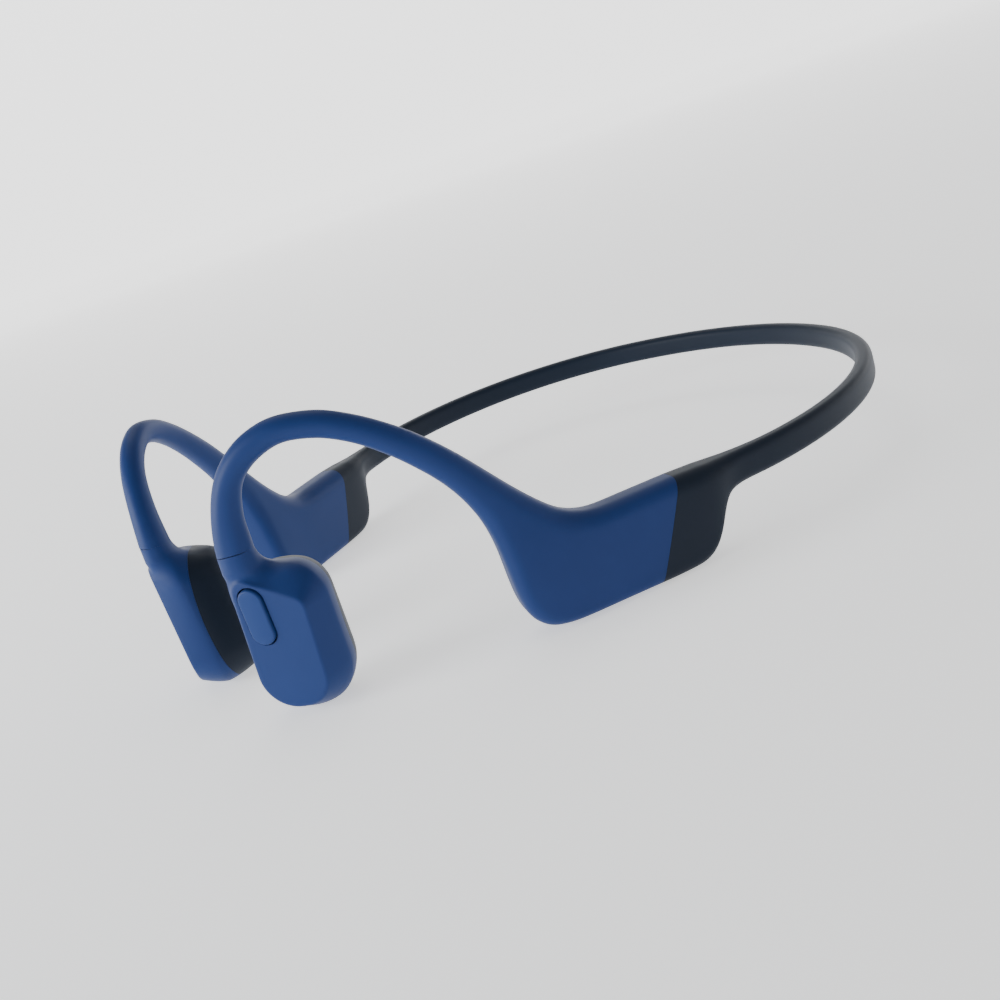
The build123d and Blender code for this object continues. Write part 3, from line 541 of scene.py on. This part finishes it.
def settle(points, rounds=3):
    """Newton steps of local points onto the transducer's surface."""
    tiny, flattest, longest = 0.02, 0.05, 0.25
    for _ in range(rounds):
        value = driver_field(*points.T)
        slope = np.stack([
            driver_field(*(points + tiny * axis).T) - driver_field(*(points - tiny * axis).T)
            for axis in np.eye(3)], 1) / (2 * tiny)
        move = -value[:, None] * slope / np.maximum((slope ** 2).sum(1), flattest)[:, None]
        reach = np.linalg.norm(move, axis=1)[:, None]
        points = points + move * np.minimum(1, longest / np.maximum(reach, 1e-9))
    return points


NET_STEP = 0.23
NET_LOW = (-7.0, -13.0, -5.0)
NET_HIGH = (17.0, 20.5, 13.5)
driver_local, driver_quads = surface_net(driver_grid, NET_LOW, NET_HIGH, NET_STEP)
driver_local = settle(driver_local)


PARTING_TOP = (1.5, 12.0)      # extra depth at this height above the middle
PARTING_FOOT = (1.2, 11.0)     # and at this height below it
PARTING_LEAN = 0.11            # extra depth per mm rearward
PARTING_MIDDLE = (6.0, -0.25)
PARTING_RANGE = (0.5, 4.0)     # the bend of the line fades in between these depths
PARTING_ROUNDS = 12


def parting(a, b):
    """Extra depth of the line between the blue shell and the dark pad."""
    top = PARTING_TOP[0] * np.clip(b / PARTING_TOP[1], 0, 1.2) ** 2
    foot = PARTING_FOOT[0] * np.clip(-b / PARTING_FOOT[1], 0, 1.2) ** 2
    return top + foot + PARTING_LEAN * (a - PARTING_MIDDLE[0]) + PARTING_MIDDLE[1]


def sliced(name, keep, mirror):
    """Part of the transducer; keep lists (point, outward normal) of the planes that bound it."""
    points = driver_local.copy()
    points[:, 2] -= parting(points[:, 0], points[:, 1]) * smoothstep(points[:, 2], *PARTING_RANGE)
    work = bmesh.new()
    vertices = [work.verts.new(p) for p in points]
    for quad in driver_quads:
        work.faces.new([vertices[i] for i in quad])
    for spot, normal in keep:
        everything = work.verts[:] + work.edges[:] + work.faces[:]
        made = bmesh.ops.bisect_plane(work, geom=everything, plane_co=spot, plane_no=normal,
                                      clear_outer=True)
        rim = [g for g in made["geom_cut"] if isinstance(g, bmesh.types.BMEdge)]
        bmesh.ops.holes_fill(work, edges=rim, sides=0)
    bmesh.ops.remove_doubles(work, verts=work.verts, dist=0.002)
    bmesh.ops.triangulate(work, faces=[f for f in work.faces if len(f.verts) > 4])
    bmesh.ops.recalc_face_normals(work, faces=work.faces)
    work.verts.index_update()
    local = np.array([v.co[:] for v in work.verts])
    faces = [[v.index for v in f.verts] for f in work.faces]
    work.free()
    depth = local[:, 2].copy()
    for _ in range(PARTING_ROUNDS):
        depth = local[:, 2] + parting(local[:, 0], local[:, 1]) * smoothstep(depth, *PARTING_RANGE)
    world = driver_point(local[:, 0], local[:, 1], depth)
    return add_mesh(name, world, faces, mirror)


# the neck's seam, leaning up to the outside; expressed in the transducer's own axes
SEAM_GAP = 0.07
PAD_GAP = 0.03
seam_heading = float(path(SEAM_S)[1])
seam_out = np.array([math.cos(seam_heading), -math.sin(seam_heading), 0.0])
seam_normal = np.array([0.0, 0.0, 1.0]) - SEAM_TILT * seam_out
driver_axes = np.array([DRIVER_REAR, DRIVER_UP, -DRIVER_OUT])
level = driver_axes @ seam_normal
seam_point = place(SEAM_S, NECK_SEAM_Z - SEAM_GAP, 0.0) - DRIVER_ORIGIN
seam_spot = tuple(driver_axes @ seam_point)
shells, pads = {}, {}
for side, mirrored in (("left", False), ("right", True)):
    above, behind = (seam_spot, tuple(level)), ((0, 0, SHELL_DEPTH), (0, 0, 1))
    shells[side] = sliced(side + "_driver_skin", [above, behind], mirrored)
    pads[side] = sliced(side + "_pad_skin", [((0, 0, SHELL_DEPTH + PAD_GAP), (0, 0, -1))], mirrored)

# ---------------------------------------------------------------- small parts
BUTTON_AT = (3.95, 6.6)
BUTTON_LENGTH = 9.1
BUTTON_WIDTH = 4.0
BUTTON_SLIT = 0.24
BUTTON_LEAN = math.radians(-1.5)
BUTTON_PROUD = 0.42
BUTTON_EDGE = 0.32
BUTTON_CROWN = 0.07
POCKET_DEPTH = 1.5
# height above the face, and inset, of the pocket's wall with its rounded mouth
POCKET_LAYERS = [(-POCKET_DEPTH, 0), (-0.14, 0), (-0.06, -0.02), (0.0, -0.08), (0.02, -0.1), (2.5, -0.1)]
BUTTON_SKIRT = 1.1       # leaves the travel free under the button


def slot_outline(length, width, count=72):
    """Points round a rounded slot, its length along the first axis."""
    reach = (length - width) / 2
    angle = np.linspace(-math.pi / 2, 1.5 * math.pi, count, endpoint=False)
    points = width / 2 * np.stack([np.cos(angle), np.sin(angle)], 1)
    points[:, 0] += np.where(np.cos(angle) > 1e-9, reach, np.where(np.cos(angle) < -1e-9, -reach, 0))
    return points


def stack(outline, layers):
    """Rings of (along, across, height) from outline(inset) at each (height, inset)."""
    return np.array([np.column_stack([outline(inset), np.full(len(outline(inset)), height)])
                     for height, inset in layers])


def slot_rings(length, width, layers, count=72):
    return stack(lambda inset: slot_outline(length - 2 * inset, width - 2 * inset, count), layers)


def rounded_edge(top, radius, steps=7):
    """Layers (height, inset) of a rounded top edge."""
    angle = np.linspace(0, math.pi / 2, steps)
    return [(top - radius + radius * math.sin(t), radius * (1 - math.cos(t))) for t in angle]


def dome(layers, crown, width):
    """More layers inward from the last, rising by crown to the middle."""
    height, inset = layers[-1]
    more = []
    for t in np.linspace(0, 1, 9)[1:]:
        here = inset + (width / 2 - 0.02 - inset) * t
        more.append((height + crown * (1 - (1 - t) ** 2), here))
    return layers + more


def on_face(rings):
    """Button axes, lengthwise and crosswise on the transducer's face and out of it, to world."""
    along, across, height = rings[..., 0], rings[..., 1], rings[..., 2]
    a = BUTTON_AT[0] - along * math.sin(BUTTON_LEAN) + across * math.cos(BUTTON_LEAN)
    b = BUTTON_AT[1] + along * math.cos(BUTTON_LEAN) + across * math.sin(BUTTON_LEAN)
    return driver_point(a, b, -height)


pocket_rings = slot_rings(BUTTON_LENGTH + 2 * BUTTON_SLIT, BUTTON_WIDTH + 2 * BUTTON_SLIT, POCKET_LAYERS)
pocket = outward_normals(add_mesh("pocket", *loft(on_face(pocket_rings))))
cut(shells["left"], pocket)
button_layers = dome([(-BUTTON_SKIRT, 0)] + rounded_edge(BUTTON_PROUD, BUTTON_EDGE), BUTTON_CROWN,
                     BUTTON_WIDTH)
button = outward_normals(add_mesh("multifunction_button_cap", *loft(
    on_face(slot_rings(BUTTON_LENGTH, BUTTON_WIDTH, button_layers)))))

# right shell: microphone hole in the face, over the CAD's mesh disc
MIC_AT = (4.5, -5.8)
MIC_RADIUS = 0.9
MIC_LAYERS = [(-0.45, 0), (-0.12, 0), (0.0, -0.07), (1.5, -0.09)]


def disc_rings(radius, layers, count=48):
    angle = np.linspace(0, 2 * math.pi, count, endpoint=False)
    return stack(lambda inset: (radius - inset) * np.stack([np.cos(angle), np.sin(angle)], 1), layers)


mic_rings = disc_rings(MIC_RADIUS, MIC_LAYERS)
mic_world = driver_point(MIC_AT[0] + mic_rings[..., 0], MIC_AT[1] + mic_rings[..., 1], -mic_rings[..., 2])
cut(shells["right"], outward_normals(add_mesh("mic_bore", *loft(mic_world), mirror=True)))

# right module: two volume buttons and a microphone underneath; left module: charging port on its inner side
VOLUME_AT = {"volume_up": 31.2, "volume_down": 24.8}
VOLUME_LENGTH = 5.2
VOLUME_WIDTH = 3.0
VOLUME_SLIT = 0.22
VOLUME_SKIRT = 1.45
VOLUME_PROUD = 0.24
VOLUME_EDGE = 0.25
VOLUME_CROWN = 0.05
WELL_LAYERS = [(-1.8, 0), (-0.1, 0), (0.0, -0.06), (1.5, -0.08)]
UNDERSIDE_Z = 0.42
REAR_MIC_S = 19.5
REAR_MIC_RADIUS = 0.4
REAR_MIC_LAYERS = [(-1.2, 0), (-0.1, 0), (0.02, -0.05), (1.5, -0.06)]


def under_module(rings, s):
    """Slot axes, lengthwise along the arm, across it and downward, to world."""
    along, across, down = rings[..., 0], rings[..., 1], rings[..., 2]
    return place(s + along, UNDERSIDE_Z - down, across)


PORT_AT = (34.2, 8.6)
PORT_LENGTH = 7.6
PORT_HEIGHT = 3.6
PORT_LAYERS = [(-1.4, 0), (-0.16, 0), (-0.05, -0.04), (0.02, -0.14), (1.5, -0.18)]
MODULE_HALF = 4.2


def inside_module(rings, at):
    """Slot axes, lengthwise along the arm, upward and inward out of the module, to world."""
    along, up, inward = rings[..., 0], rings[..., 1], rings[..., 2]
    return place(at[0] + along, at[1] + up, -(MODULE_HALF + inward))


openings = []
volume_caps = {}
for name, s in VOLUME_AT.items():
    well = slot_rings(VOLUME_LENGTH + 2 * VOLUME_SLIT, VOLUME_WIDTH + 2 * VOLUME_SLIT, WELL_LAYERS)
    openings.append(add_mesh(name + "_well", *loft(under_module(well, s)), mirror=True))
    layers = dome([(-VOLUME_SKIRT, 0)] + rounded_edge(VOLUME_PROUD, VOLUME_EDGE), VOLUME_CROWN,
                  VOLUME_WIDTH)
    volume_caps[name] = outward_normals(add_mesh(name + "_cap", *loft(
        under_module(slot_rings(VOLUME_LENGTH, VOLUME_WIDTH, layers), s)), mirror=True))
rear_mic = disc_rings(REAR_MIC_RADIUS, REAR_MIC_LAYERS)
openings.append(add_mesh("rear_mic_bore", *loft(under_module(rear_mic, REAR_MIC_S)), mirror=True))
port_well = slot_rings(PORT_LENGTH, PORT_HEIGHT, PORT_LAYERS)
for opening in openings:
    outward_normals(opening)
cut(right_hook, *openings)
cut(left_hook, outward_normals(add_mesh("port_well", *loft(inside_module(port_well, PORT_AT)))))

# ---------------------------------------------------------------- materials
PALE = (0.80, 0.81, 0.82)


class Look:
    """A procedural material, node by node."""

    def __init__(self, name):
        self.material = bpy.data.materials.new(name)
        self.material.use_nodes = True
        self.nodes = self.material.node_tree.nodes
        self.links = self.material.node_tree.links
        self.shader = self.nodes["Principled BSDF"]
        self.place = self.nodes.new("ShaderNodeTexCoord")

    def noise(self, scale, detail=2.0, rough=0.5):
        node = self.nodes.new("ShaderNodeTexNoise")
        node.inputs["Scale"].default_value = scale
        node.inputs["Detail"].default_value = detail
        node.inputs["Roughness"].default_value = rough
        self.links.new(self.place.outputs["Object"], node.inputs["Vector"])
        return node.outputs["Fac"]

    def ramp(self, value, low, high, at=(0.3, 0.7)):
        """Colours low to high as value runs between the two places."""
        node = self.nodes.new("ShaderNodeValToRGB")
        first, last = node.color_ramp.elements
        first.position, last.position = at
        first.color = (*low, 1)
        last.color = (*high, 1)
        self.links.new(value, node.inputs["Fac"])
        return node.outputs["Color"]

    def scaled(self, value, low, high):
        node = self.nodes.new("ShaderNodeMapRange")
        node.inputs["To Min"].default_value = low
        node.inputs["To Max"].default_value = high
        self.links.new(value, node.inputs["Value"])
        return node.outputs["Result"]

    def bump(self, height, strength, distance, under=None):
        node = self.nodes.new("ShaderNodeBump")
        node.inputs["Strength"].default_value = strength
        node.inputs["Distance"].default_value = distance
        self.links.new(height, node.inputs["Height"])
        if under is not None:
            self.links.new(under, node.inputs["Normal"])
        return node.outputs["Normal"]

    def set(self, **values):
        for key, value in values.items():
            socket = self.shader.inputs[key.replace("_", " ")]
            if isinstance(value, bpy.types.NodeSocket):
                self.links.new(value, socket)
            else:
                socket.default_value = value
        return self


def soft_touch(name, low, high, rough, sheen):
    """Overmoulded silicone: even colour with a faint cloud, and a fine matte grain."""
    look = Look(name)
    cloud = look.noise(70, 3.0)
    grain = look.noise(5200, 2.0)
    ripple = look.noise(240, 2.0)
    under = look.bump(ripple, 0.10, 0.00004)
    look.set(Base_Color=look.ramp(cloud, low, high),
             Roughness=look.scaled(grain, rough - 0.03, rough + 0.04),
             Normal=look.bump(grain, 0.14, 0.000012, under), Specular_IOR_Level=0.17,
             Sheen_Weight=sheen, Sheen_Roughness=0.45)
    look.shader.inputs["Sheen Tint"].default_value = (0.75, 0.85, 1.0, 1.0)
    return look.material


def moulded(name, low, high, rough):
    look = Look(name)
    grain = look.noise(3600, 2.0)
    look.set(Base_Color=look.ramp(look.noise(120), low, high),
             Roughness=look.scaled(grain, rough - 0.04, rough + 0.05),
             Normal=look.bump(grain, 0.12, 0.00001))
    return look.material


def metal(name, low, high, rough, scratch=1400):
    look = Look(name)
    brushed = look.nodes.new("ShaderNodeMapping")
    brushed.inputs["Scale"].default_value = (1.0, 1.0, 14.0)
    look.links.new(look.place.outputs["Object"], brushed.inputs["Vector"])
    lines = look.nodes.new("ShaderNodeTexNoise")
    lines.inputs["Scale"].default_value = scratch
    look.links.new(brushed.outputs["Vector"], lines.inputs["Vector"])
    look.set(Base_Color=look.ramp(look.noise(300), low, high), Metallic=1.0,
             Roughness=look.scaled(lines.outputs["Fac"], rough - 0.06, rough + 0.08),
             Normal=look.bump(lines.outputs["Fac"], 0.08, 0.00001))
    return look.material


BLUE_LOW = (0.0105, 0.0320, 0.1330)
BLUE_HIGH = (0.0124, 0.0362, 0.1480)
BUTTON_LOW = (0.0128, 0.0390, 0.1540)
BUTTON_HIGH = (0.0148, 0.0436, 0.1700)
NAVY_LOW = (0.0062, 0.0124, 0.0250)
NAVY_HIGH = (0.0074, 0.0142, 0.0285)
LOOKS = {
    "soft_blue": soft_touch("soft_touch_blue", BLUE_LOW, BLUE_HIGH, 0.46, 0.03),
    "button_blue": soft_touch("button_blue", BUTTON_LOW, BUTTON_HIGH, 0.42, 0.03),
    "soft_dark": soft_touch("soft_touch_navy", NAVY_LOW, NAVY_HIGH, 0.48, 0.04),
    "titanium": metal("drawn_titanium", (0.44, 0.42, 0.40), (0.54, 0.52, 0.49), 0.32),
    "cable_sheath": moulded("cable_sheath", (0.010, 0.010, 0.012), (0.018, 0.018, 0.020), 0.5),
    "steel": metal("stamped_steel", (0.50, 0.51, 0.52), (0.62, 0.63, 0.65), 0.28),
    "nickel": metal("nickel_plate", (0.64, 0.62, 0.58), (0.74, 0.72, 0.68), 0.16),
    "copper": metal("enamelled_copper", (0.58, 0.24, 0.10), (0.72, 0.34, 0.16), 0.30, 2600),
    "black_plastic": moulded("black_plastic", (0.012, 0.012, 0.014), (0.022, 0.022, 0.025), 0.38),
    "cell_foil": metal("pouch_foil", (0.58, 0.59, 0.61), (0.70, 0.71, 0.73), 0.30, 500),
    "board_green": moulded("solder_mask", (0.006, 0.050, 0.026), (0.012, 0.078, 0.040), 0.34),
    "gold": metal("gold_flash", (0.78, 0.52, 0.20), (0.90, 0.64, 0.28), 0.18),
}


def paint(thing, slot):
    thing.data.materials.clear()
    thing.data.materials.append(LOOKS[slot])
    return thing


for part in frame["record"]["subparts"]:
    paint(frame["nodes"][part["node"]], part["material_slot"])

# ---------------------------------------------------------------- what each piece stands for and rides on
for side, hook, band, shell, pad in (("left", left_hook, left_band, shells["left"], pads["left"]),
                                     ("right", right_hook, right_band, shells["right"], pads["right"])):
    body = side + "_side"
    for thing, slot, node in ((hook, "soft_blue", "ear_hook"), (shell, "soft_blue", "driver_shell"),
                              (pad, "soft_dark", "contact_pad")):
        paint(thing, slot)
        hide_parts(f"{side}_{node}")
        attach(thing, body)
    paint(band, "soft_dark")
    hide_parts(f"{side}_neckband_arm", "neckband_jacket")
    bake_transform(band)
small = [(button, "multifunction_button", "button")]
small += [(cap, name + "_button", name) for name, cap in volume_caps.items()]
for thing, node, body in small:
    paint(thing, "button_blue")
    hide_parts(node)
    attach(thing, body)

# ---------------------------------------------------------------- floor, light and camera
# a bowl: flat under the headset, curving up all round far away
FLOOR_FLAT = 3000.0
FLOOR_CURVE = 2000.0
FLOOR_RISE = 78.0
FLOOR_SIDES = 96
FLOOR_DROP = 0.15        # just clear of the headset's underside
bend = np.radians(np.linspace(0, FLOOR_RISE, 24))
profile = [(r, 0.0) for r in (60.0, 200.0, 500.0, 1000.0)]
profile += [(FLOOR_FLAT + FLOOR_CURVE * math.sin(t), FLOOR_CURVE * (1 - math.cos(t))) for t in bend]
turn = np.linspace(0, 2 * math.pi, FLOOR_SIDES, endpoint=False)
floor_rings = np.array([
    np.column_stack([r * np.cos(turn), r * np.sin(turn), np.full(FLOOR_SIDES, z - FLOOR_DROP)])
    for r, z in profile])
floor = add_mesh("floor", *loft(floor_rings, close_end=False))
# the floor glows: its emission is painted light, dim on one side and growing toward the other, and it also
# lights the headset from below
pale = Look("floor_pale_painted_glow")
spread = pale.nodes.new("ShaderNodeVectorMath")
spread.operation = "DOT_PRODUCT"
spread.inputs[1].default_value = (-0.79, 0.61, 0.0)     # the glow grows toward this side
pale.links.new(pale.place.outputs["Object"], spread.inputs[0])
# strength of the floor's painted glow, from 0.12 up to 1.9 along that direction
fade = pale.nodes.new("ShaderNodeMapRange")
for socket, value in (("From Min", -1.0), ("From Max", 1.6), ("To Min", 0.12), ("To Max", 1.9)):
    fade.inputs[socket].default_value = value
pale.links.new(spread.outputs["Value"], fade.inputs["Value"])
pale.set(Base_Color=pale.ramp(pale.noise(3.0), PALE, PALE), Roughness=1.0, Specular_IOR_Level=0.0,
         Emission_Color=(1, 1, 1, 1), Emission_Strength=fade.outputs["Result"])
floor.data.materials.append(pale.material)


def area_light(name, spot, target, size, power, colour=(1, 1, 1)):
    lamp = bpy.data.lights.new(name, "AREA")
    lamp.shape = "RECTANGLE"
    lamp.size, lamp.size_y = size
    lamp.energy = power
    lamp.color = colour
    thing = bpy.data.objects.new(name, lamp)
    bpy.context.scene.collection.objects.link(thing)
    thing.location = spot
    thing.rotation_mode = "QUATERNION"
    thing.rotation_quaternion = (Vector(target) - Vector(spot)).to_track_quat("-Z", "Y")
    return thing


MIDDLE = (0.0, 0.0, 0.015)
area_light("key", (-0.16, -0.46, 0.13), MIDDLE, (0.3, 0.25), 2.4, (0.96, 0.98, 1.0))
area_light("overhead", (-0.45, 0.25, 0.85), MIDDLE, (0.7, 0.7), 2.0)
area_light("warm_side", (0.75, 0.50, 0.20), MIDDLE, (0.5, 0.3), 0.5, (1.0, 0.86, 0.72))

SKY_STRENGTH = 0.4
world = bpy.data.worlds.new("studio")
bpy.context.scene.world = world
world.use_nodes = True
background = world.node_tree.nodes["Background"]
background.inputs["Strength"].default_value = SKY_STRENGTH
background.inputs["Color"].default_value = (1, 1, 1, 1)

camera_data = bpy.data.cameras.new("camera")
camera = bpy.data.objects.new("camera", camera_data)
bpy.context.scene.collection.objects.link(camera)
bpy.context.scene.camera = camera
CAMERA_AT = (0.1714437, -0.1392564, 0.0736786)
RIGHT = Vector((0.65188, 0.69313, -0.30761))
UP = -Vector((0.0246, -0.42476, -0.90497))
BACK = -Vector((-0.75792, 0.58237, -0.29394))
turned = Matrix((RIGHT, UP, BACK)).transposed().to_4x4()
camera.matrix_world = Matrix.Translation(CAMERA_AT) @ turned
camera_data.lens = 43.747
camera_data.sensor_width = 36.0
camera_data.clip_start = 0.005
camera_data.clip_end = 20.0
camera_data.dof.use_dof = False
